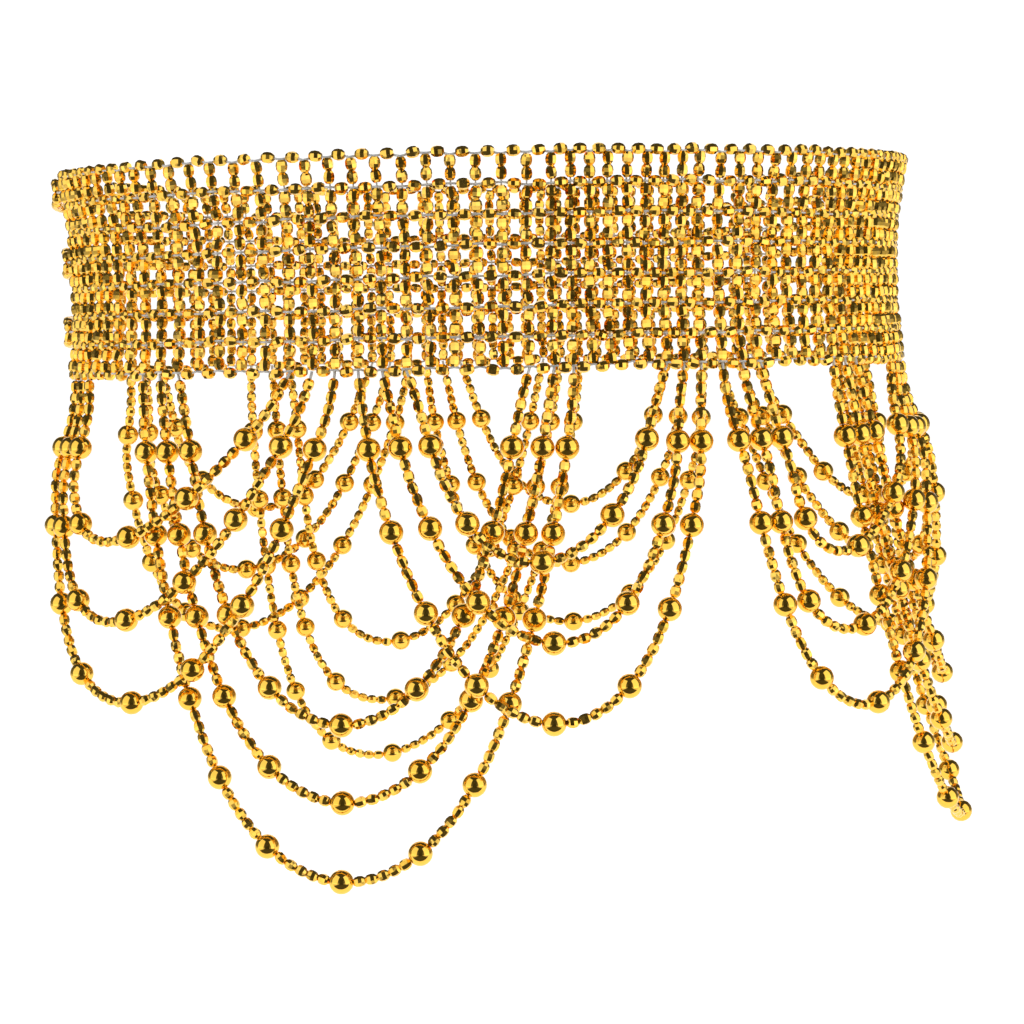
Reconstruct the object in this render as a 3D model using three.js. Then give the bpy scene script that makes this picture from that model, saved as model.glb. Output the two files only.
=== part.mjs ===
// Belly dance hip belt: a stretched net of small beads, closed into a ring round the hips, with
// three-strand swags of beads and balls hanging from its lower edge all the way round.
// Millimetres, +Z up, the wearer faces -Y. The origin is the centre of the ring at the band's
// half height, where the wearer's hips hold the belt.
import * as THREE from 'three';

// Beads: small faceted ones, and smooth balls, both threaded on clear elastic.
const SMALL_BEAD = 4;
const BALL = 8;
const BEADS_BETWEEN_BALLS = 5;

// The ring on which the bottom row of beads lies.
const RING_HALF_WIDTH = 149.5;
const RING_HALF_DEPTH = 104.5;

// The net: rows of beads along the belt, joined by two beads at each column.
const ROWS = 8;
const ROW_PITCH = 9.77;
const NET_HALF_HEIGHT = (ROWS - 1) * ROW_PITCH / 2;
const WALL = SMALL_BEAD;
const BAND_HALF_HEIGHT = NET_HALF_HEIGHT + WALL / 2;

// The band is drawn in at its waist and leans out to its top edge (stand-off from the ring, mm).
const WAIST_PULL = 2.2;
const WAIST_CURVE = 3.1;
const TOP_LEAN = 0.9;

// The net's columns are numbered along the belt. The elastic is stretched most across the front.
// turn: degrees round the ring from the middle of the front, positive towards +X.
const COLUMNS = [
  { column: -18, turn: -76.0 },
  { column: -10, turn: -50.0 },
  { column: -3, turn: -25.0 },
  { column: 8, turn: 8.5 },
  { column: 16, turn: 28.0 },
  { column: 18, turn: 34.3 },
  { column: 33, turn: 77.2 },
  { column: 48, turn: 135.5 },
  { column: 59, turn: 168.3 },
  { column: 67, turn: 189.2 },
  { column: 76, turn: 214.5 },
  { column: 85, turn: 248.0 },
];
const FIRST_COLUMN = COLUMNS[0].column;
const LAST_COLUMN = COLUMNS[COLUMNS.length - 1].column;

// Below the band the swags lie on widening hips: stand-off gained for each mm of drop at the
// front, and how much more it is over the seat.
const FLARE_FRONT = 0.11;
const FLARE_TO_SEAT = 0.06;

// Swags: the strands of each kind, with the columns they span and the balls they carry.
// layer: how far the strands of that kind stand off the hips, to pass over the other kind.
const SMALL_SWAG = {
  name: 'small_swag',
  layer: 6.2,
  strands: [
    { name: 'inner', columns: 12, balls: 5 },
    { name: 'middle', columns: 14, balls: 7 },
    { name: 'outer', columns: 16, balls: 9 },
  ],
};
const LARGE_SWAG = {
  name: 'large_swag',
  layer: 0,
  strands: [
    { name: 'inner', columns: 15, balls: 9 },
    { name: 'middle', columns: 17, balls: 11 },
    { name: 'outer', columns: 19, balls: 13 },
  ],
};
const LAYER_START = 8;
const LAYER_FULL = 40;

// Where the swags hang along the belt, and how far the lowest point of each strand sways along
// the ring, towards +X at the front, because no two hang quite alike.
const SWAGS = [
  { kind: SMALL_SWAG, number: 1, centre: -9, inner: -20, middle: -17, outer: -10 },
  { kind: SMALL_SWAG, number: 2, centre: 8, inner: -3, middle: 4, outer: 4 },
  { kind: SMALL_SWAG, number: 3, centre: 25, inner: -14, middle: -13, outer: -7 },
  { kind: SMALL_SWAG, number: 4, centre: 42, inner: 3, middle: -4, outer: 2 },
  { kind: SMALL_SWAG, number: 5, centre: 59, inner: 2, middle: 4, outer: 4 },
  { kind: SMALL_SWAG, number: 6, centre: 76, inner: -4, middle: 2, outer: 4 },
  { kind: LARGE_SWAG, number: 1, centre: -0.5, inner: 0, middle: 1, outer: 2 },
  { kind: LARGE_SWAG, number: 2, centre: 33.5, inner: 13, middle: 7, outer: 0 },
  { kind: LARGE_SWAG, number: 3, centre: 67.5, inner: 10, middle: 13, outer: 14 },
];
const SWAY_GROWTH = 1.5;

// Neighbouring strands push each other apart where their first balls lie side by side.
const FAN = { inner: -1.2, middle: 0, outer: 1.2 };
const FIRST_BALL_DROP = 28;

// A strand's thread leaves the middle of the bottom row. Its solid starts clear of the band.
const BARE_THREAD = 2.5;
const CLEAR_OF_ROW = 4.4;
const STRAND_STEP = 3 * SMALL_BEAD;
const STRAND_SIDES = 8;

// Closure: bead loops from one end of the belt, each hooked over a ball at the other end.
const LOOP_HEIGHTS = [3 * ROW_PITCH, 0.5 * ROW_PITCH, -2 * ROW_PITCH];
const LOOP_HALF_HEIGHT = 4;
const LOOP_STAND_OFF = 1.5;
const LOOP_END_TURNS = [-79.0, -109.0];
const LOOP_STEPS = 36;
const LOOP_SIDES = 8;
const CLOSURE_BALL_STAND_OFF = 5.2;
const CLOSURE_BALL_TURN = -105.5;

const BAND_STEPS = 84;
const BAND_LEVELS = 4;

const degrees = THREE.MathUtils.degToRad;

// The turn of a column, between the columns of the table.
function turnOf(column) {
  const next = COLUMNS.findIndex((row) => row.column >= column);
  const after = COLUMNS[Math.max(next, 1)];
  const before = COLUMNS[Math.max(next, 1) - 1];
  const share = (column - before.column) / (after.column - before.column);
  return degrees(before.turn + share * (after.turn - before.turn));
}

// A point at a turn round the ring, moved out square to it by standOff, at height z.
function onRing(turn, standOff, z) {
  const outX = Math.sin(turn) / RING_HALF_WIDTH;
  const outY = -Math.cos(turn) / RING_HALF_DEPTH;
  const size = Math.hypot(outX, outY);
  return new THREE.Vector3(
    RING_HALF_WIDTH * Math.sin(turn) + standOff * outX / size,
    -RING_HALF_DEPTH * Math.cos(turn) + standOff * outY / size,
    z,
  );
}

// The band's stand-off at a height: a parabola with its waist near the middle.
function bandStandOff(z) {
  const level = z / NET_HALF_HEIGHT;
  return WAIST_CURVE * level * level + TOP_LEAN * level - WAIST_PULL;
}

// A point of a swag, on the hips, at a turn and at a drop below the bottom row.
function onHips(turn, drop, layer) {
  const toSeat = (1 - Math.cos(turn)) / 2;
  const flare = FLARE_FRONT + FLARE_TO_SEAT * toSeat * toSeat;
  const raised = layer * THREE.MathUtils.smoothstep(drop, LAYER_START, LAYER_FULL);
  return onRing(turn, flare * drop + raised, -NET_HALF_HEIGHT - drop);
}

// The catenary of a chain of the given length between two level points: half its span over its
// scale, from sinh(u) / u = length / span, by Newton's method.
function catenaryReach(length, span) {
  let reach = Math.sqrt(6 * (length / span - 1));
  for (let i = 0; i < 40; i += 1) {
    const error = Math.sinh(reach) / reach - length / span;
    const slope = (reach * Math.cosh(reach) - Math.sinh(reach)) / (reach * reach);
    reach -= error / slope;
  }
  return reach;
}

// The turn at each share of the way along the ring between two turns.
function turnsAlong(from, to, shares) {
  const parts = 120;
  const turns = Array.from({ length: parts + 1 }, (_, i) => from + (to - from) * i / parts);
  const points = turns.map((turn) => onRing(turn, 0, 0));
  const along = [0];
  for (let i = 1; i <= parts; i += 1) {
    along.push(along[i - 1] + points[i].distanceTo(points[i - 1]));
  }
  const span = along[parts];
  const at = (share) => {
    const i = Math.min(Math.max(along.findIndex((a) => a >= share * span), 1), parts);
    const part = (share * span - along[i - 1]) / (along[i] - along[i - 1]);
    return turns[i - 1] + part * (turns[i] - turns[i - 1]);
  };
  return { span, turns: shares.map(at) };
}

// A strand hangs from two columns as a chain of its own length, laid on the flaring hips.
// Its points start and end where it is clear of the row.
function hangingStrand(firstColumn, lastColumn, length, layer, sway, fan) {
  const from = turnOf(firstColumn);
  const to = turnOf(lastColumn);
  const { span } = turnsAlong(from, to, []);
  const pointsOf = (chain, trim, steps) => {
    const reach = catenaryReach(chain, span);
    const scale = span / 2 / reach;
    const lowest = scale * (Math.cosh(reach) - 1);
    const end = Math.acosh(Math.cosh(reach) - trim / scale);
    const places = Array.from({ length: steps + 1 }, (_, i) => {
      return Math.asinh(Math.sinh(end) * (2 * i / steps - 1));
    });
    const drops = places.map((place) => {
      return Math.max(0, scale * (Math.cosh(reach) - Math.cosh(place)));
    });
    const shares = places.map((place, i) => {
      const swayed = sway * (drops[i] / lowest) ** SWAY_GROWTH;
      const low = drops[i] / FIRST_BALL_DROP;
      const fanned = fan * place / reach * low * Math.exp(1 - low);
      return 0.5 + place / reach / 2 + (swayed + fanned) / span;
    });
    const { turns } = turnsAlong(from, to, shares);
    return places.map((_, i) => onHips(turns[i], drops[i], layer));
  };
  const lengthOf = (points) => {
    return points.slice(1).reduce((sum, point, i) => sum + point.distanceTo(points[i]), 0);
  };
  let chain = length;
  for (let i = 0; i < 6; i += 1) {
    chain *= length / lengthOf(pointsOf(chain, 0, 120));
  }
  return pointsOf(chain, CLEAR_OF_ROW, Math.ceil(length / STRAND_STEP));
}

// A round bar of flat-ended, evenly turned sections along a line of points.
function roundBar(points, radius, sides) {
  const section = new THREE.Shape();
  for (let i = 0; i < sides; i += 1) {
    const angle = 2 * Math.PI * (i + 0.5) / sides;
    const place = [radius * Math.cos(angle), radius * Math.sin(angle)];
    if (i === 0) section.moveTo(...place);
    else section.lineTo(...place);
  }
  section.closePath();
  return new THREE.ExtrudeGeometry(section, {
    steps: points.length - 1,
    extrudePath: new THREE.CatmullRomCurve3(points),
  });
}

// A closed body from a grid of points: grid[i][j], with j going round the section and i along.
// closed: whether the sections join up end to end. If they don't, both ends are filled.
function bodyOfSections(grid, closed) {
  const around = grid[0].length;
  const positions = grid.flat().flatMap((point) => point.toArray());
  const faces = [];
  const rows = closed ? grid.length : grid.length - 1;
  for (let i = 0; i < rows; i += 1) {
    for (let j = 0; j < around; j += 1) {
      const a = i * around + j;
      const b = i * around + (j + 1) % around;
      const c = (i + 1) % grid.length * around + (j + 1) % around;
      const d = (i + 1) % grid.length * around + j;
      faces.push(a, b, c, a, c, d);
    }
  }
  const geometry = new THREE.BufferGeometry();
  geometry.setAttribute('position', new THREE.Float32BufferAttribute(positions, 3));
  if (!closed) {
    // The section is a strip: its first half runs down one side and its second half back up.
    const last = (grid.length - 1) * around;
    for (let j = 0; j < around / 2 - 1; j += 1) {
      const far = around - 1 - j;
      faces.push(j, far, j + 1, j + 1, far, far - 1);
      faces.push(last + j, last + j + 1, last + far, last + j + 1, last + far - 1, last + far);
    }
  }
  geometry.setIndex(faces);
  geometry.computeVertexNormals();
  return geometry;
}

// The net band: a strip one bead thick, drawn in at the waist, open where the belt closes.
function netBand() {
  const edge = WALL / 2 / RING_HALF_DEPTH;
  const from = turnOf(FIRST_COLUMN) - edge;
  const to = turnOf(LAST_COLUMN) + edge;
  const levels = Array.from({ length: BAND_LEVELS + 1 }, (_, k) => {
    return BAND_HALF_HEIGHT * (2 * k / BAND_LEVELS - 1);
  });
  const sections = Array.from({ length: BAND_STEPS + 1 }, (_, i) => {
    const turn = from + (to - from) * i / BAND_STEPS;
    const outside = levels.map((z) => onRing(turn, bandStandOff(z) + WALL / 2, z));
    const inside = levels.map((z) => onRing(turn, bandStandOff(z) - WALL / 2, z));
    return [...inside, ...outside.reverse()];
  });
  return bodyOfSections(sections, false);
}

// A closure loop: a ring of small beads, pulled long, that follows the belt's curve.
function closureLoop(height) {
  const [near, far] = LOOP_END_TURNS.map(degrees);
  const middle = (near + far) / 2;
  const halfLength = (near - far) / 2 * RING_HALF_DEPTH;
  const straight = halfLength - LOOP_HALF_HEIGHT;
  const centre = (share) => {
    const angle = 2 * Math.PI * share;
    const along = straight * Math.tanh(3 * Math.cos(angle)) + LOOP_HALF_HEIGHT * Math.cos(angle);
    const z = height + LOOP_HALF_HEIGHT * Math.sin(angle);
    return onRing(middle + along / RING_HALF_DEPTH, bandStandOff(height) + LOOP_STAND_OFF, z);
  };
  const sections = Array.from({ length: LOOP_STEPS }, (_, i) => {
    const here = centre(i / LOOP_STEPS);
    const ahead = centre((i + 0.5) / LOOP_STEPS).sub(centre((i - 0.5) / LOOP_STEPS)).normalize();
    const out = new THREE.Vector3(here.x, here.y, 0).normalize();
    const across = new THREE.Vector3().crossVectors(ahead, out).normalize();
    const square = new THREE.Vector3().crossVectors(ahead, across);
    return Array.from({ length: LOOP_SIDES }, (__, j) => {
      const angle = 2 * Math.PI * j / LOOP_SIDES;
      return here.clone()
        .addScaledVector(across, SMALL_BEAD / 2 * Math.cos(angle))
        .addScaledVector(square, SMALL_BEAD / 2 * Math.sin(angle));
    });
  });
  return bodyOfSections(sections, true);
}

function goldPlastic(color, roughness) {
  return new THREE.MeshStandardMaterial({ color, roughness, metalness: 1, side: THREE.DoubleSide });
}

const belt = new THREE.Group();

function add(name, geometry, material) {
  const piece = new THREE.Mesh(geometry, material);
  piece.name = name;
  belt.add(piece);
  return piece;
}

add('net_band', netBand(), goldPlastic(0xc8901c, 0.25));

for (const swag of SWAGS) {
  for (const strand of swag.kind.strands) {
    const small = (strand.balls + 1) * BEADS_BETWEEN_BALLS;
    const length = 2 * BARE_THREAD + small * SMALL_BEAD + strand.balls * BALL;
    const first = swag.centre - strand.columns / 2;
    const last = swag.centre + strand.columns / 2;
    const { layer } = swag.kind;
    const sway = swag[strand.name];
    const points = hangingStrand(first, last, length, layer, sway, FAN[strand.name]);
    const bar = roundBar(points, SMALL_BEAD / 2, STRAND_SIDES);
    const name = `${swag.kind.name}_${swag.number}_${strand.name}`;
    add(name, bar, goldPlastic(0xd49a1e, 0.2));
  }
}

LOOP_HEIGHTS.forEach((height, i) => {
  add(`closure_loop_${i + 1}`, closureLoop(height), goldPlastic(0xc8901c, 0.25));
  const ball = new THREE.SphereGeometry(BALL / 2, 12, 8);
  const piece = add(`closure_ball_${i + 1}`, ball, goldPlastic(0xe0a81e, 0.12));
  const standOff = bandStandOff(height) + LOOP_STAND_OFF + CLOSURE_BALL_STAND_OFF;
  piece.position.copy(onRing(degrees(CLOSURE_BALL_TURN), standOff, height));
});

export default belt;
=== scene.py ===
# %% [markdown]
# # Belly dance hip belt
#
# A belt of bead net, stretched round the hips, with swags of threaded beads hanging from its lower
# edge all the way round. Every bead is a thin shell of plastic plated in bright gold, so the whole
# look comes from two things: how the beads sit on their threads, and what each of their faces
# mirrors. This lesson threads the beads one after the other along the same curves as the CAD part,
# as a maker does, and then lights them as small mirrors are lit.
#
# Everything is in metres. +Z is up, the wearer faces -Y, and the origin is the middle of the ring
# at the band's half height.

import bpy
import numpy as np
from mathutils import Matrix


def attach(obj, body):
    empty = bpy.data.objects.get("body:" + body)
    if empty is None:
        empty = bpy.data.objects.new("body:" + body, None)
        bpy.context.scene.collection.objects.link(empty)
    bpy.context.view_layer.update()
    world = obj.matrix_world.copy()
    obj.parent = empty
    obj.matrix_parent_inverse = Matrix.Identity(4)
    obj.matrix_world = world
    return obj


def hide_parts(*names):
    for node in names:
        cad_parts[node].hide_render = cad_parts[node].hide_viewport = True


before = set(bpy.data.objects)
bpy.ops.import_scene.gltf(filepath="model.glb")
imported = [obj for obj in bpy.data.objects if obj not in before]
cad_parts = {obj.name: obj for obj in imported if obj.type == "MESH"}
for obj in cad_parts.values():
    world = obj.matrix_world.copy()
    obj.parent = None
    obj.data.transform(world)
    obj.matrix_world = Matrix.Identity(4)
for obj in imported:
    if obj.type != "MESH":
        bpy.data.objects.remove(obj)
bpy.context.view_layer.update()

# %% [markdown]
# ## The beads and the ring
#
# Two beads make the whole belt: a small faceted barrel, 4 mm long, and a smooth 8 mm ball. The
# net has 8 rows. Its columns are numbered along the belt and are not evenly spaced, because the
# elastic is stretched most across the front, so a short table gives the turn of some of them and
# the others lie evenly in between. A spline would be smoother, but the real net changes its pitch
# just as abruptly, where a swag's pull starts.

# %% Sizes and the ring
SMALL_BEAD = 0.004
BALL = 0.008
BEADS_BETWEEN_BALLS = 5
RING_HALF_WIDTH = 0.1495
RING_HALF_DEPTH = 0.1045
ROWS = 8
ROW_PITCH = 0.00977
NET_HALF_HEIGHT = (ROWS - 1) * ROW_PITCH / 2

COLUMN_TURNS = np.array([
    # column, degrees round the ring from the middle of the front towards +X
    (-18, -76.0),
    (-10, -50.0),
    (-3, -25.0),
    (8, 8.5),
    (16, 28.0),
    (18, 34.3),
    (33, 77.2),
    (48, 135.5),
    (59, 168.3),
    (67, 189.2),
    (76, 214.5),
    (85, 248.0),
])


def turn_of(column):
    """The turn of a column in radians: straight lines between the rows of the table."""
    return np.radians(np.interp(column, COLUMN_TURNS[:, 0], COLUMN_TURNS[:, 1]))


def outward(turn):
    """The direction square to the ring, level, away from the wearer: the gradient of
    (x / half width)^2 + (y / half depth)^2, made one long."""
    across = np.sin(turn) / RING_HALF_WIDTH
    front = -np.cos(turn) / RING_HALF_DEPTH
    size = np.hypot(across, front)
    return np.stack([across / size, front / size, np.zeros_like(size)], -1)


def on_ring(turn, stand_off, height):
    """The ring's point at a turn, moved out square to the ring by stand_off, at a height."""
    turn, stand_off, height = np.broadcast_arrays(turn, stand_off, height)
    ring = np.stack([RING_HALF_WIDTH * np.sin(turn), -RING_HALF_DEPTH * np.cos(turn), height], -1)
    return ring + stand_off[..., None] * outward(turn)


columns = np.arange(COLUMN_TURNS[0, 0], COLUMN_TURNS[-1, 0] + 1)
worn = on_ring(turn_of(np.linspace(columns[0], columns[-1], 2000)), 0.0, 0.0)
worn_length = np.linalg.norm(np.diff(worn, axis=0), axis=1).sum()
print(f"{len(columns)} columns, worn length of the net {1000 * worn_length:.0f} mm, "
      f"mean pitch {1000 * worn_length / (len(columns) - 1):.2f} mm")

# %% [markdown]
# ## The camera
#
# The belt is seen from straight ahead and slightly below its waist, a little under a metre away,
# through a long lens. The camera leans by about one degree. It is built from three directions:
# ahead, right and up, each square to the others.

# %% Camera
CAMERA_PLACE = (0.0, -0.8870, -0.0222)
CAMERA_LENS = 85.9
CAMERA_YAW, CAMERA_DOWN, CAMERA_LEAN = np.radians([0.547, 4.270, 1.307])

ahead = np.array([np.sin(CAMERA_YAW) * np.cos(CAMERA_DOWN),
                  np.cos(CAMERA_YAW) * np.cos(CAMERA_DOWN),
                  -np.sin(CAMERA_DOWN)])
level_right = np.array([np.cos(CAMERA_YAW), -np.sin(CAMERA_YAW), 0.0])
level_up = np.cross(level_right, ahead)
right = level_right * np.cos(CAMERA_LEAN) - level_up * np.sin(CAMERA_LEAN)
up = level_up * np.cos(CAMERA_LEAN) + level_right * np.sin(CAMERA_LEAN)

camera = bpy.data.objects.new("camera", bpy.data.cameras.new("camera"))
bpy.context.scene.collection.objects.link(camera)
camera_matrix = np.eye(4)
camera_matrix[:3] = np.stack([right, up, -ahead, CAMERA_PLACE], 1)
camera.matrix_world = Matrix(camera_matrix.tolist())
camera.data.lens = CAMERA_LENS
camera.data.sensor_width = 36.0
camera.data.dof.use_dof = False
camera.data.clip_start, camera.data.clip_end = 0.05, 20.0
bpy.context.scene.camera = camera
print(f"camera {1000 * np.linalg.norm(CAMERA_PLACE):.0f} mm from the belt's middle")

# %% [markdown]
# ## The curve of a strand
#
# A strand of beads is a chain: heavy for its width and free to bend, so it hangs in a catenary.
# Its length is fixed by its bead count, and its two ends by the columns that it hangs from, and
# these two alone decide how deep it hangs. A parabola would be simpler, but it is too flat at
# the sides for swags as deep as these. The catenary is then laid round the ring and on the hips,
# which widen below the band. Bending it round the hips makes it a little longer, so the chain's
# length is corrected until the length in space is the true one.
#
# No two strands hang quite alike. Each gets a sway, which moves its lowest point sideways, and
# neighbours lean apart a little where their first balls lie side by side.

# %% Catenaries on the hips
FLARE_FRONT = 0.11
FLARE_TO_SEAT = 0.06
LAYER_START = 0.008
LAYER_FULL = 0.040
SWAY_GROWTH = 1.5
FIRST_BALL_DROP = 0.028


def on_hips(turn, drop, layer):
    """The hips' point at a turn and a drop below the bottom row. The hips stand off by a share of
    the drop, and a strand in an outer layer by its layer more, which comes in smoothly."""
    to_seat = (1 - np.cos(turn)) / 2
    share = np.clip((drop - LAYER_START) / (LAYER_FULL - LAYER_START), 0, 1)
    stand_off = (FLARE_FRONT + FLARE_TO_SEAT * to_seat**2) * drop
    return on_ring(turn, stand_off + layer * share**2 * (3 - 2 * share), -NET_HALF_HEIGHT - drop)


def measured(points):
    """The length along a line of points, up to each of them."""
    return np.concatenate([[0.0], np.cumsum(np.linalg.norm(np.diff(points, axis=0), axis=1))])


def catenary_reach(ratio):
    """Half the span over the catenary's scale, for a chain ratio times as long as its span:
    the root of sinh(u) / u = ratio, by Newton's method."""
    reach = np.sqrt(6 * (ratio - 1))
    for _ in range(40):
        slope = (reach * np.cosh(reach) - np.sinh(reach)) / reach**2
        reach -= (np.sinh(reach) / reach - ratio) / slope
    return reach


def strand_line(first, last, length, layer, sway, fan):
    """401 points of a strand of that length between two columns. With u the reach and s the
    scale, the drop at a place p from -u to u is s (cosh u - cosh p), and p is linear in the
    distance round the ring, apart from the sway and the fan."""
    turns = np.linspace(turn_of(first), turn_of(last), 121)
    along = measured(on_ring(turns, 0.0, 0.0))
    span = along[-1]
    chain = length
    for _ in range(7):
        reach = catenary_reach(chain / span)
        scale = span / 2 / reach
        place = np.arcsinh(np.sinh(reach) * np.linspace(-1, 1, 401))
        drop = np.maximum(0, scale * (np.cosh(reach) - np.cosh(place)))
        swayed = sway * (drop / drop.max()) ** SWAY_GROWTH
        low = drop / FIRST_BALL_DROP
        fanned = fan * place / reach * low * np.exp(1 - low)
        there = span * (0.5 + place / reach / 2) + swayed + fanned
        points = on_hips(np.interp(there, along, turns), drop, layer)
        chain *= length / measured(points)[-1]
    return points


test_line = strand_line(-8, 7, 0.277, 0.0, 0.0, 0.0)
print(f"a chain of 277 mm between columns -8 and 7 measures {1000 * measured(test_line)[-1]:.1f} mm"
      f" and hangs {1000 * (test_line[0, 2] - test_line[:, 2].min()):.0f} mm deep")

# %% [markdown]
# ## The two beads
#
# A bead is a turned shape: a short list of radii along its length, repeated round a number of
# sides. The small bead has 8 sides and is left flat-shaded, so that each of its 32 faces is a
# mirror of its own, as on the real one. The ball has the same build with more rings and is shaded
# smooth. Each bead is stored once, as points and faces, and copied by one sum over whole arrays:
# copy point = centre + length share x along + width shares x the two directions across. That is
# far quicker than making thousands of objects, and the belt stays a few dozen pieces.

# %% Bead shapes and the copying of beads
BEAD_SIDES = 8
BEAD_PROFILE = np.array([
    # share of the bead's length from its middle, radius in bead lengths
    (-0.50, 0.250),
    (-0.30, 0.415),
    (0.00, 0.465),
    (0.30, 0.415),
    (0.50, 0.250),
])
BALL_SIDES = 16
BALL_RINGS = 11
BALL_HOLE_ANGLE = 0.24


def turned(profile, sides):
    """A closed turned shape: its points, (along, radius cos angle, radius sin angle) for each row
    of the profile and each side, then its side faces and its two end faces."""
    angle = 2 * np.pi * np.arange(sides) / sides
    along = np.repeat(profile[:, 0], sides)
    radius = np.repeat(profile[:, 1], sides)
    angle = np.tile(angle, len(profile))
    points = np.stack([along, radius * np.cos(angle), radius * np.sin(angle)], -1)
    ring, side = np.meshgrid(np.arange(len(profile) - 1), np.arange(sides), indexing="ij")
    here = (ring * sides + side).ravel()
    beside = (ring * sides + (side + 1) % sides).ravel()
    quads = np.stack([here, here + sides, beside + sides, beside], -1)
    ends = np.stack([np.arange(sides), np.arange(sides)[::-1] + (len(profile) - 1) * sides])
    return points, [quads, ends]


def copied(shape, centres, directions, scale):
    """Copies of a shape: centre + scale x (the point's three shares x copy i's directions), where
    directions[i] holds copy i's along and two across directions."""
    points, groups = shape
    placed = centres[:, None] + scale * np.einsum("pk,nkd->npd", points, directions)
    first = np.arange(len(centres))[:, None, None] * len(points)
    return placed.reshape(-1, 3), [(first + group).reshape(-1, group.shape[1]) for group in groups]


def bead_directions(along, out, tilt, rng):
    """For each bead, its along direction tilted by a random small angle, and two directions across
    it, turned round it by a random roll."""
    along = along + tilt * rng.normal(size=along.shape)
    along /= np.linalg.norm(along, axis=1, keepdims=True)
    across = np.cross(along, out)
    across /= np.linalg.norm(across, axis=1, keepdims=True)
    other = np.cross(along, across)
    angle = rng.uniform(0, 2 * np.pi, (len(along), 1))
    return np.stack([along, across * np.cos(angle) + other * np.sin(angle),
                     other * np.cos(angle) - across * np.sin(angle)], 1)


small_bead = turned(BEAD_PROFILE, BEAD_SIDES)
ball_angle = np.linspace(np.pi - BALL_HOLE_ANGLE, BALL_HOLE_ANGLE, BALL_RINGS)
ball = turned(np.stack([np.cos(ball_angle), np.sin(ball_angle)], -1) / 2, BALL_SIDES)
for name, shape in (("small bead", small_bead), ("ball", ball)):
    print(name, "has", sum(len(group) for group in shape[1]), "faces")

# %% [markdown]
# ## Threads
#
# The thread is a thin tube along a line of points. Its section keeps one side facing out from the
# wearer, which is enough for lines that never run straight outwards.

# %% Tubes and pieces
def tube(lines, outs, radius, sides=6):
    """Tubes along several lines of the same number of points: line point + radius x (cos angle x
    across + sin angle x the direction square to it). lines and outs are n x m x 3."""
    ahead_of = np.gradient(lines, axis=1)
    ahead_of /= np.linalg.norm(ahead_of, axis=2, keepdims=True)
    across = np.cross(ahead_of, outs)
    across /= np.linalg.norm(across, axis=2, keepdims=True)
    other = np.cross(ahead_of, across)
    angle = 2 * np.pi * np.arange(sides)[:, None] / sides
    rings = (lines[:, :, None] + radius * (across[:, :, None] * np.cos(angle)
                                           + other[:, :, None] * np.sin(angle)))
    count, length = lines.shape[:2]
    line, ring, side = np.meshgrid(np.arange(count), np.arange(length - 1), np.arange(sides),
                                   indexing="ij")
    base = (line * length + ring) * sides
    here, beside = (base + side).ravel(), (base + (side + 1) % sides).ravel()
    quads = np.stack([here, beside, beside + sides, here + sides], -1)
    start = np.arange(count)[:, None] * length * sides
    ends = np.concatenate([start + np.arange(sides)[::-1],
                           start + (length - 1) * sides + np.arange(sides)])
    return rings.reshape(-1, 3), [quads, ends]


def piece(name, parts):
    """A mesh object riding on the belt, joined from parts of whole arrays. A part is its points,
    its groups of faces, its material, whether it is shaded smooth, and a shade for each point,
    from 0 to 1, that the material reads as the attribute bead_shade. A face's corners start where
    those of the faces before it end: at the running sum of their sizes."""
    points, corners, sizes, slots, smooth, shades = [], [], [], [], [], []
    for index, (part_points, groups, _, shaded_smooth, shade) in enumerate(parts):
        first = sum(map(len, points))
        points.append(part_points)
        shades.append(np.broadcast_to(shade, len(part_points)))
        for group in groups:
            corners.append((group + first).ravel())
            sizes.append(np.full(len(group), group.shape[1]))
            slots.append(np.full(len(group), index))
            smooth.append(np.full(len(group), shaded_smooth))
    points, corners, sizes = map(np.concatenate, (points, corners, sizes))

    mesh = bpy.data.meshes.new(name)
    mesh.vertices.add(len(points))
    mesh.vertices.foreach_set("co", points.astype(np.float32).ravel())
    mesh.loops.add(len(corners))
    mesh.loops.foreach_set("vertex_index", corners.astype(np.int32))
    mesh.polygons.add(len(sizes))
    mesh.polygons.foreach_set("loop_start", (np.cumsum(sizes) - sizes).astype(np.int32))
    mesh.polygons.foreach_set("material_index", np.concatenate(slots).astype(np.int32))
    mesh.polygons.foreach_set("use_smooth", np.concatenate(smooth))
    mesh.attributes.new("bead_shade", "FLOAT", "POINT").data.foreach_set(
        "value", np.concatenate(shades).astype(np.float32))
    mesh.update(calc_edges=True)
    for part in parts:
        mesh.materials.append(part[2])
    made = bpy.data.objects.new(name, mesh)
    bpy.context.scene.collection.objects.link(made)
    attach(made, "root")
    return made


# %% [markdown]
# ## Materials
#
# The beads are moulded plastic, plated in a vacuum with bright metal under a yellow lacquer. The
# plating is a mirror, but not a perfect one: the plastic under it has shrunk a little unevenly,
# the lacquer is thicker on one bead than on the next, and a fine dust of pinholes takes the edge
# off its shine. One node group makes all of it from the place on the object, and both golds use
# it at their own scale. What they share is only numbers; each keeps its own shader.

# %% The uneven plating, as a node group
OWN_LACQUER = 0.7
SWELL_LACQUER = 0.3


def new_group(name, inputs, outputs):
    """An empty node group with the given sockets, and its two end nodes."""
    group = bpy.data.node_groups.new(name, "ShaderNodeTree")
    for label, kind, value in inputs:
        socket = group.interface.new_socket(label, in_out="INPUT", socket_type=kind)
        socket.default_value = value
    for label, kind in outputs:
        group.interface.new_socket(label, in_out="OUTPUT", socket_type=kind)
    return group, group.nodes.new("NodeGroupInput"), group.nodes.new("NodeGroupOutput")


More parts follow.
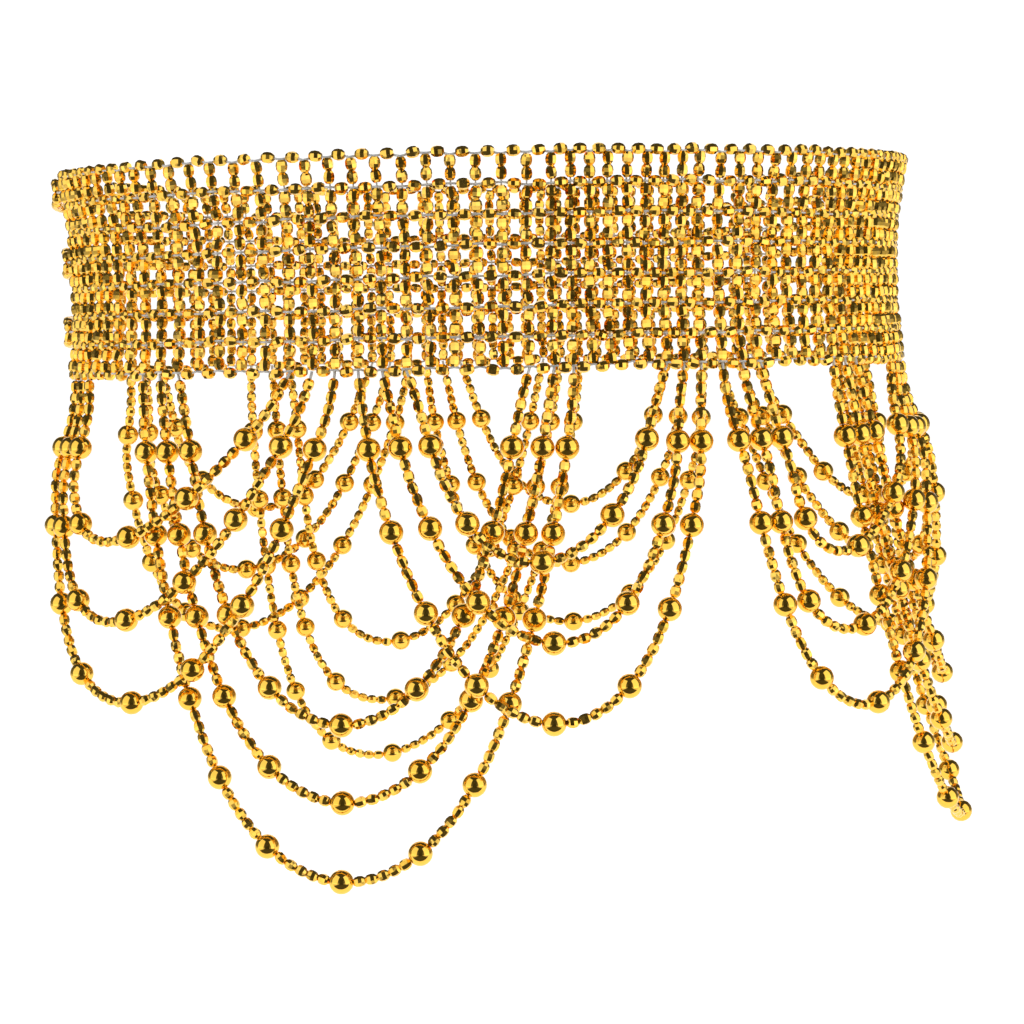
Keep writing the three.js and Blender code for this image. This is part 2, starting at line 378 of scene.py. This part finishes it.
def node(tree, kind, inputs=(), **settings):
    """A node with its settings, and its sockets set to a number or joined to another socket."""
    made = tree.nodes.new(kind)
    for key, value in settings.items():
        setattr(made, key, value)
    for key, value in dict(inputs).items():
        if isinstance(value, bpy.types.NodeSocket):
            tree.links.new(value, made.inputs[key])
        else:
            made.inputs[key].default_value = value
    return made


plating, given, result = new_group(
    "uneven_plating",
    [("Swell per metre", "NodeSocketFloat", 400.0), ("Dust per metre", "NodeSocketFloat", 6000.0)],
    [("Swell", "NodeSocketFloat"), ("Dust", "NodeSocketFloat"), ("Lacquer", "NodeSocketFloat")],
)
where = node(plating, "ShaderNodeTexCoord").outputs["Object"]
swell = node(plating, "ShaderNodeTexNoise", {"Vector": where, "Detail": 1.0,
                                            "Scale": given.outputs["Swell per metre"]})
dust = node(plating, "ShaderNodeTexNoise", {"Vector": where, "Detail": 2.0,
                                           "Scale": given.outputs["Dust per metre"]})
dust_seen = node(plating, "ShaderNodeMapRange", {"Value": dust.outputs[0], "From Min": 0.55,
                                                "From Max": 0.75})
own = node(plating, "ShaderNodeAttribute", attribute_name="bead_shade").outputs["Fac"]
lacquer = node(plating, "ShaderNodeMath", {0: own, 1: OWN_LACQUER}, operation="MULTIPLY")
lacquer = node(plating, "ShaderNodeMath", {0: swell.outputs[0], 1: SWELL_LACQUER,
                                             2: lacquer.outputs[0]}, operation="MULTIPLY_ADD")
plating.links.new(swell.outputs[0], result.inputs["Swell"])
plating.links.new(dust_seen.outputs[0], result.inputs["Dust"])
plating.links.new(lacquer.outputs[0], result.inputs["Lacquer"])
print("group", plating.name, "gives", [s.name for s in plating.interface.items_tree
                                       if s.in_out == "OUTPUT"])


# %% The two golds and the elastic
def new_material(name):
    """A material with nodes, its tree, and its own Principled shader."""
    material = bpy.data.materials.new(name)
    material.use_nodes = True
    return material, material.node_tree, material.node_tree.nodes["Principled BSDF"]


def gold(name, thin, thick, clean, dusty, swell_per_metre, swell_height):
    """Gold plating: its colour runs from thin to thick lacquer and its roughness from clean to
    dusty, and the swell of the plastic under it bends what it mirrors."""
    material, tree, shader = new_material(name)
    uneven = node(tree, "ShaderNodeGroup", node_tree=plating)
    uneven.inputs["Swell per metre"].default_value = swell_per_metre
    colour = node(tree, "ShaderNodeMix", {"Factor": uneven.outputs["Lacquer"]}, data_type="RGBA")
    colour.inputs["A"].default_value = (*thin, 1.0)
    colour.inputs["B"].default_value = (*thick, 1.0)
    rough = node(tree, "ShaderNodeMapRange", {"Value": uneven.outputs["Dust"], "To Min": clean,
                                              "To Max": dusty})
    bump = node(tree, "ShaderNodeBump", {"Height": uneven.outputs["Swell"], "Strength": 1.0,
                                         "Distance": swell_height})
    shader.inputs["Metallic"].default_value = 1.0
    tree.links.new(colour.outputs["Result"], shader.inputs["Base Color"])
    tree.links.new(rough.outputs[0], shader.inputs["Roughness"])
    tree.links.new(bump.outputs[0], shader.inputs["Normal"])
    return material


faceted_gold = gold("faceted_gold", (1.0, 0.64, 0.125), (0.96, 0.56, 0.070), 0.08, 0.18,
                    500.0, 0.00006)
ball_gold = gold("ball_gold", (1.0, 0.62, 0.100), (0.97, 0.56, 0.065), 0.045, 0.10,
                 160.0, 0.00004)

elastic, tree, shader = new_material("clear_elastic")
where = node(tree, "ShaderNodeTexCoord").outputs["Object"]
cloudy = node(tree, "ShaderNodeTexNoise", {"Vector": where, "Scale": 900.0, "Detail": 2.0})
tone = node(tree, "ShaderNodeValToRGB", {"Fac": cloudy.outputs[0]})
tone.color_ramp.elements[0].color = (0.80, 0.80, 0.78, 1.0)
tone.color_ramp.elements[1].color = (0.97, 0.97, 0.95, 1.0)
tree.links.new(tone.outputs[0], shader.inputs["Base Color"])
shader.inputs["Roughness"].default_value = 0.22
shader.inputs["Transmission Weight"].default_value = 0.15
shader.inputs["IOR"].default_value = 1.45
print("materials:", [m.name for m in (faceted_gold, ball_gold, elastic)])

# %% [markdown]
# ## The swags
#
# Each swag is three strands, one inside the other: five small beads, a ball, five small beads, a
# ball, and five small beads at the end. Small swags pass over large ones, so they lie in an outer
# layer. A strand starts with a short bare thread under the bottom row. Its beads are threaded at
# their true distances along the line, each with a roll and a tilt of its own: that is what makes
# a strand glitter, because no two beads mirror the same thing.

# %% Strands: tables
SMALL_SWAG = {"name": "small_swag", "layer": 0.0062,
              "inner": (12, 5), "middle": (14, 7), "outer": (16, 9)}
LARGE_SWAG = {"name": "large_swag", "layer": 0.0,
              "inner": (15, 9), "middle": (17, 11), "outer": (19, 13)}
FAN = {"inner": -0.0012, "middle": 0.0, "outer": 0.0012}
BARE_THREAD = 0.0025
STRAND_THREAD = 0.001

SWAGS = [
    # kind, number, middle column, sway of the inner, middle and outer strand in mm
    (SMALL_SWAG, 1, -9.0, {"inner": -20, "middle": -17, "outer": -10}),
    (SMALL_SWAG, 2, 8.0, {"inner": -3, "middle": 4, "outer": 4}),
    (SMALL_SWAG, 3, 25.0, {"inner": -14, "middle": -13, "outer": -7}),
    (SMALL_SWAG, 4, 42.0, {"inner": 3, "middle": -4, "outer": 2}),
    (SMALL_SWAG, 5, 59.0, {"inner": 2, "middle": 4, "outer": 4}),
    (SMALL_SWAG, 6, 76.0, {"inner": -4, "middle": 2, "outer": 4}),
    (LARGE_SWAG, 1, -0.5, {"inner": 0, "middle": 1, "outer": 2}),
    (LARGE_SWAG, 2, 33.5, {"inner": 13, "middle": 7, "outer": 0}),
    (LARGE_SWAG, 3, 67.5, {"inner": 10, "middle": 13, "outer": 14}),
]


def along_line(points, places):
    """The point and the direction of a line of points at distances along it."""
    lengths = measured(points)
    slopes = np.gradient(points, lengths, axis=0)
    at = np.stack([np.interp(places, lengths, points[:, k]) for k in range(3)], -1)
    way = np.stack([np.interp(places, lengths, slopes[:, k]) for k in range(3)], -1)
    return at, way / np.linalg.norm(way, axis=1, keepdims=True)


def out_from(points):
    """The direction away from the wearer at points near the ring."""
    return outward(np.arctan2(points[..., 0] / RING_HALF_WIDTH, -points[..., 1] / RING_HALF_DEPTH))


def threaded(shape, points, places, size, tilt, rng):
    """Beads of one shape threaded on a line at those places, and a shade for each point."""
    centres, along = along_line(points, places)
    directions = bead_directions(along, out_from(centres), tilt, rng)
    copies, groups = copied(shape, centres, directions, size)
    return copies, groups, np.repeat(rng.uniform(0, 1, len(places)), len(shape[0]))


# %% Strands: threading
rng = np.random.default_rng(41)
strand_lengths = {}
for kind, number, middle, sways in SWAGS:
    for which in ("inner", "middle", "outer"):
        spanned, ball_count = kind[which]
        run = BEADS_BETWEEN_BALLS * SMALL_BEAD
        length = 2 * BARE_THREAD + (ball_count + 1) * run + ball_count * BALL
        line = strand_line(middle - spanned / 2, middle + spanned / 2, length, kind["layer"],
                           0.001 * sways[which], FAN[which])
        run_starts = BARE_THREAD + np.arange(ball_count + 1) * (run + BALL)
        bead_places = (run_starts[:, None] + SMALL_BEAD * (np.arange(BEADS_BETWEEN_BALLS) + 0.5))
        ball_places = run_starts[:-1] + run + BALL / 2
        name = f"{kind['name']}_{number}_{which}"

        points, groups, shade = threaded(small_bead, line, bead_places.ravel(), SMALL_BEAD, 0.07,
                                         rng)
        thread, _ = along_line(line, np.linspace(0, length, 120))
        thread_points, thread_groups = tube(thread[None], out_from(thread)[None],
                                            STRAND_THREAD / 2, 5)
        strand = piece(name + "_beads", [
            (points, groups, faceted_gold, False, shade),
            (thread_points, thread_groups, elastic, True, 0.5),
        ])
        points, groups, shade = threaded(ball, line, ball_places, BALL, 0.0, rng)
        balls = piece(name + "_balls", [(points, groups, ball_gold, True, shade)])
        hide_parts(name)
        strand_lengths[name] = length

print(f"{len(strand_lengths)} strands, {1000 * min(strand_lengths.values()):.0f} to "
      f"{1000 * max(strand_lengths.values()):.0f} mm long, "
      f"{sum(strand_lengths.values()):.2f} m in all")

# %% [markdown]
# ## The net
#
# The net is a grid of crossings, where a row's thread meets a column's. One bead lies on the row
# between neighbouring crossings, and two stand on the column between neighbouring rows. So the
# crossings come first, each a little off its place as in a hand-made net, and each bead lies
# between its two crossings whatever their distance: that keeps the wandering of a row the same
# for the beads above and below it. The two standing beads touch end to end. The top and bottom
# rows have beads on one side only, so theirs are pushed out between the columns, which gives the
# belt its scalloped edges.

# %% Crossings and beads of the net
WAIST_PULL = 0.0022
WAIST_CURVE = 0.0031
TOP_LEAN = 0.0009
NET_BEAD = 0.0042
SCALLOP = 0.0004
ROW_WANDER = 0.00012
LOOSENESS = {"along": 0.00028, "height": 0.00022, "out": 0.00025}


def band_stand_off(height):
    """The band's stand-off from the ring: a parabola with its waist near the middle."""
    level = height / NET_HALF_HEIGHT
    return WAIST_CURVE * level**2 + TOP_LEAN * level - WAIST_PULL


rng = np.random.default_rng(43)
row_heights = NET_HALF_HEIGHT - ROW_PITCH * np.arange(ROWS)
grid = (ROWS, len(columns))
wander = np.cumsum(rng.normal(size=grid), axis=1)
ticks = np.arange(len(columns))
wander -= np.stack([np.polyval(np.polyfit(ticks, row, 6), ticks) for row in wander])
height = (row_heights[:, None] + LOOSENESS["height"] * rng.normal(size=grid)
          + ROW_WANDER * wander)
turns = (turn_of(columns)[None] + LOOSENESS["along"] * rng.normal(size=grid) / RING_HALF_WIDTH)
slack = LOOSENESS["out"] * rng.normal(size=grid)
crossings = on_ring(turns, band_stand_off(row_heights)[:, None] + slack, height)
crossings_out = outward(turns)


def between(start, end, share):
    """The points at a share of the way from each start to its end, and the directions."""
    way = end - start
    return start + share * way, way / np.linalg.norm(way, axis=-1, keepdims=True)


centres, along = between(crossings[:, :-1], crossings[:, 1:], 0.5)
edge_rows = np.r_[1, np.zeros(ROWS - 2), -1]
centres = centres + SCALLOP * edge_rows[:, None, None] * [0, 0, 1]
out = (crossings_out[:, :-1] + crossings_out[:, 1:]).reshape(-1, 3)
directions = bead_directions(along.reshape(-1, 3), out, 0.10, rng)
row_points, row_groups = copied(small_bead, centres.reshape(-1, 3), directions, NET_BEAD)

upper, lower = crossings[:-1], crossings[1:]
middles, down = between(upper, lower, 0.5)
edge_courses = np.r_[1, np.zeros(ROWS - 3), -1]
middles = middles + SCALLOP * edge_courses[:, None, None] * [0, 0, 1]
stack = np.array([-0.5, 0.5])[:, None, None, None] * NET_BEAD
centres = middles[None] + stack * down[None]
out = np.broadcast_to(crossings_out[:-1], centres.shape).reshape(-1, 3)
along = np.broadcast_to(down, centres.shape).reshape(-1, 3)
directions = bead_directions(along, out, 0.07, rng)
column_points, column_groups = copied(small_bead, centres.reshape(-1, 3), directions, NET_BEAD)

points = np.concatenate([row_points, column_points])
groups = [np.concatenate([r, c + len(row_points)]) for r, c in zip(row_groups, column_groups)]
bead_count = len(points) // len(small_bead[0])
shade = np.repeat(rng.uniform(0, 1, bead_count), len(small_bead[0]))
net = piece("net_beads", [(points, groups, faceted_gold, False, shade)])
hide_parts("net_band")

# %% [markdown]
# ## The net's elastic
#
# Between two beads of a row the thread shows as a short pale line across the front of the column,
# because the row is knotted over it. The column's own thread runs behind, through the standing
# beads. Both are tubes through the crossings.

# %% Elastic threads of the net
ROW_THREAD = 0.00075
COLUMN_THREAD = 0.0006
OVER_COLUMN = 0.0007
BEHIND_CROSSING = 0.0003

STEPS_BETWEEN = 6
share = np.linspace(0, 1, STEPS_BETWEEN, endpoint=False)
tick_fine = (np.arange(len(columns) - 1)[:, None] + share).ravel()
tick_fine = np.append(tick_fine, len(columns) - 1)
bulge = OVER_COLUMN * np.cos(2 * np.pi * tick_fine)
row_lines = np.stack([np.stack([np.interp(tick_fine, ticks, crossings[row, :, k])
                                for k in range(3)], -1) for row in range(ROWS)])
row_turns = np.stack([np.interp(tick_fine, ticks, turns[row]) for row in range(ROWS)])
row_lines = row_lines + bulge[None, :, None] * outward(row_turns)
row_lines[0, :, 2] -= SCALLOP * np.cos(2 * np.pi * tick_fine)
row_lines[-1, :, 2] += SCALLOP * np.cos(2 * np.pi * tick_fine)
points, groups = tube(row_lines, outward(row_turns), ROW_THREAD / 2)
row_threads = (points, groups, elastic, True, 0.5)

column_outs = np.transpose(crossings_out, (1, 0, 2))
column_lines = np.transpose(crossings, (1, 0, 2)) - BEHIND_CROSSING * column_outs
points, groups = tube(column_lines, column_outs, COLUMN_THREAD / 2, 5)
piece("net_threads", [row_threads, (points, groups, elastic, True, 0.5)])
print(ROWS, "row threads and", len(columns), "column threads")

# %% [markdown]
# ## The closure
#
# The belt closes on the wearer's right, towards the back, with three bead loops, each hooked over
# a ball. A loop is a ring of small beads pulled long: its two long sides run along the belt, and
# tanh gives the ends their tight turn without a corner. A short bare thread ties each loop to the
# first column, and each ball to the last.

# %% Closure loops and their balls
LOOP_HEIGHTS = (3 * ROW_PITCH, 0.5 * ROW_PITCH, -2 * ROW_PITCH)
LOOP_HALF_HEIGHT = 0.004
LOOP_STAND_OFF = 0.0015
LOOP_END_TURNS = np.radians([-79.0, -109.0])
CLOSURE_BALL_STAND_OFF = 0.0052
CLOSURE_BALL_TURN = np.radians(-105.5)

rng = np.random.default_rng(47)
middle = LOOP_END_TURNS.mean()
half_length = (LOOP_END_TURNS[0] - LOOP_END_TURNS[1]) / 2 * RING_HALF_DEPTH
angle = np.linspace(0, 2 * np.pi, 721)
straight = (half_length - LOOP_HALF_HEIGHT) * np.tanh(3 * np.cos(angle))
reach_along = straight + LOOP_HALF_HEIGHT * np.cos(angle)
tie_parts = []
for index, height in enumerate(LOOP_HEIGHTS, 1):
    stand_off = band_stand_off(height) + LOOP_STAND_OFF
    line = on_ring(middle + reach_along / RING_HALF_DEPTH, stand_off,
                   height + LOOP_HALF_HEIGHT * np.sin(angle))
    length = measured(line)[-1]
    count = int(length // SMALL_BEAD)
    places = (np.arange(count) + 0.5) * length / count
    points, groups, shade = threaded(small_bead, line, places, SMALL_BEAD, 0.08, rng)
    thread_points, thread_groups = tube(line[None, ::6], out_from(line[None, ::6]),
                                        STRAND_THREAD / 2, 5)
    loop = piece(f"closure_loop_{index}_beads", [
        (points, groups, faceted_gold, False, shade),
        (thread_points, thread_groups, elastic, True, 0.5),
    ])
    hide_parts(f"closure_loop_{index}")

    centre = on_ring(CLOSURE_BALL_TURN, stand_off + CLOSURE_BALL_STAND_OFF, height)
    ends = on_ring(turn_of(columns[[0, -1]]), band_stand_off(height), height)
    ties = np.stack([np.linspace(ends[0], line[0], 8), np.linspace(ends[1], centre, 8)])
    tie_parts.append((*tube(ties, out_from(ties), STRAND_THREAD / 2, 5), elastic, True, 0.5))
    facing = bead_directions(np.array([[0.0, 0.0, 1.0]]), outward(np.array([CLOSURE_BALL_TURN])),
                             0.1, rng)
    points, groups = copied(ball, centre[None], facing, BALL)
    button = piece(f"closure_ball_{index}_button",
                   [(points, groups, ball_gold, True, 0.5)])
    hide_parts(f"closure_ball_{index}")
    print(f"loop {index}: {count} beads round {1000 * length:.0f} mm")
piece("closure_ties", tie_parts)

# %% [markdown]
# ## Floor and light
#
# A mirror shows its surroundings, so lighting the beads means placing what they mirror. Two large
# soft panels stand in front, left and right, with a dark screen between them behind the camera:
# that gives each ball its dark upright core between two bright lenses. The screen's cloth runs on
# along the floor up to the table, for the core's lower half. A pale light table, a sheet of white
# acrylic that glows evenly, starts just in front of the belt, runs under it and sweeps up at the
# back. It is the white ground, and the bright crescent at the foot of each ball. The air of the
# studio darkens overhead, which draws the dark upper rim of each bead. Lamps aimed at a white
# floor would do as well, but they show in the balls as bright dots.
#
# A studio has only one good side. So that the belt can be seen from every side on the same plain
# ground, the dark screen and the dimmer floor are shown to the beads alone, and a white bowl round
# everything is shown to the camera alone.

# %% Table, floor and screen
TABLE_HEIGHT = -0.34
TABLE_FRONT = -0.19
SWEEP_START = 1.4
SWEEP_RADIUS = 0.9
TABLE_GLOW = 0.88
FLOOR_HEIGHT = -0.35
FLOOR_REACH = 6.0
SCREEN_BACK = -1.25
BOWL_FLAT = 4.0
BOWL_BEND = 2.0


def stage_material(name, dark, light, rough, glow=0.0):
    """A plain matt surface with a faint, wide mottling between two greys, that may glow."""
    material, tree, shader = new_material(name)
    where = node(tree, "ShaderNodeTexCoord").outputs["Object"]
    mottle = node(tree, "ShaderNodeTexNoise", {"Vector": where, "Scale": 3.0})
    tone = node(tree, "ShaderNodeValToRGB", {"Fac": mottle.outputs[0]})
    tone.color_ramp.elements[0].color = (dark, dark, dark, 1.0)
    tone.color_ramp.elements[1].color = (light, light, light, 1.0)
    tree.links.new(tone.outputs[0], shader.inputs["Base Color"])
    tree.links.new(tone.outputs[0], shader.inputs["Emission Color"])
    shader.inputs["Emission Strength"].default_value = glow
    shader.inputs["Roughness"].default_value = rough
    return material


def stage_surface(name, grid, material, to_camera=True, to_beads=True):
    """A surface through a grid of points, rows x columns x 3. It belongs to the stage."""
    corner = np.arange(grid.shape[0] * grid.shape[1]).reshape(grid.shape[:2])
    quads = np.stack([corner[:-1, :-1], corner[:-1, 1:], corner[1:, 1:], corner[1:, :-1]], -1)
    mesh = bpy.data.meshes.new(name)
    mesh.from_pydata(grid.reshape(-1, 3).tolist(), [], quads.reshape(-1, 4).tolist())
    mesh.polygons.foreach_set("use_smooth", np.ones(len(mesh.polygons), bool))
    mesh.materials.append(material)
    made = bpy.data.objects.new(name, mesh)
    bpy.context.scene.collection.objects.link(made)
    made.visible_camera = to_camera
    made.visible_diffuse = made.visible_glossy = made.visible_shadow = to_beads
    return made


def strip(profile, half_width):
    """The grid of a profile in y and z, carried level along x."""
    across = np.broadcast_to([-half_width, half_width], (len(profile), 2))
    return np.concatenate([across[..., None], np.repeat(profile[:, None], 2, axis=1)], -1)


def bowl(profile, sides=96):
    """The grid of a profile in radius and z, carried round the upright axis."""
    angle = -2 * np.pi * np.arange(sides + 1) / sides
    radius, height = profile[:, :1], profile[:, 1:]
    return np.stack([radius * np.cos(angle), radius * np.sin(angle), height + 0 * angle], -1)


bend = np.linspace(0, np.pi / 2, 25)
sweep = np.concatenate([
    [[TABLE_FRONT, TABLE_HEIGHT]],
    np.column_stack([SWEEP_START + SWEEP_RADIUS * np.sin(bend),
                     TABLE_HEIGHT + SWEEP_RADIUS * (1 - np.cos(bend))]),
    [[SWEEP_START + SWEEP_RADIUS, 2.2]],
])
stage_surface("light_table", strip(sweep, 1.1),
              stage_material("white_acrylic", 0.88, 0.92, 0.6, TABLE_GLOW))
floor = np.array([[-FLOOR_REACH, FLOOR_HEIGHT], [FLOOR_REACH, FLOOR_HEIGHT]])
stage_surface("dim_floor", strip(floor, FLOOR_REACH),
              stage_material("dim_floor", 0.78, 0.84, 0.8, 0.45), to_camera=False)
cloth_height = FLOOR_HEIGHT + 0.005
screen = np.array([[TABLE_FRONT - 0.02, cloth_height], [SCREEN_BACK, cloth_height],
                   [SCREEN_BACK, 1.3]])
stage_surface("camera_screen", strip(screen, 0.42), stage_material("dark_cloth", 0.11, 0.14, 0.9),
              to_camera=False)
bowl_height = FLOOR_HEIGHT - 0.005
wall = np.column_stack([BOWL_FLAT + BOWL_BEND * np.sin(bend),
                        bowl_height + BOWL_BEND * (1 - np.cos(bend))])
rim = [[BOWL_FLAT + BOWL_BEND, 8.0]]
stage_surface("white_bowl", bowl(np.concatenate([[[0.05, bowl_height]], wall, rim])),
              stage_material("white_bowl", 0.95, 1.0, 0.9, 1.1), to_beads=False)


# %% Panels and air
def panel(name, place, aim, size, radiance):
    """A soft rectangular lamp at a place, facing a point. Its power is pi x area x radiance, so
    radiance is how bright it looks in a mirror, where 1 is white."""
    data = bpy.data.lights.new(name, "AREA")
    data.shape = "RECTANGLE"
    data.size, data.size_y = size
    data.energy = np.pi * size[0] * size[1] * radiance
    made = bpy.data.objects.new(name, data)
    bpy.context.scene.collection.objects.link(made)
    way = np.array(aim, float) - np.array(place, float)
    way /= np.linalg.norm(way)
    side_way = np.cross(way, [0.0, 0.0, 1.0])
    side_way /= np.linalg.norm(side_way)
    matrix = np.eye(4)
    matrix[:3] = np.stack([side_way, np.cross(side_way, way), -way, place], 1)
    made.matrix_world = Matrix(matrix.tolist())
    return made


PANEL_AIM = (0.0, 0.0, -0.02)
PANEL_SIZE = (0.90, 1.15)
panel("panel_left", (-0.66, -0.40, 0.22), PANEL_AIM, PANEL_SIZE, 1.0)
panel("panel_right", (0.66, -0.40, 0.22), PANEL_AIM, PANEL_SIZE, 1.2)

world = bpy.data.worlds.new("studio_air")
world.use_nodes = True
air = world.node_tree
where = node(air, "ShaderNodeTexCoord").outputs["Generated"]
heights = node(air, "ShaderNodeSeparateXYZ", {"Vector": where})
brightness = node(air, "ShaderNodeMapRange", {"Value": heights.outputs["Z"], "From Min": 0.0,
                                              "From Max": 0.6, "To Min": 0.22, "To Max": 0.06})
air.links.new(brightness.outputs[0], air.nodes["Background"].inputs["Strength"])
air.nodes["Background"].inputs["Color"].default_value = (0.95, 0.97, 1.0, 1.0)
bpy.context.scene.world = world
bpy.context.scene.view_settings.view_transform = "Standard"
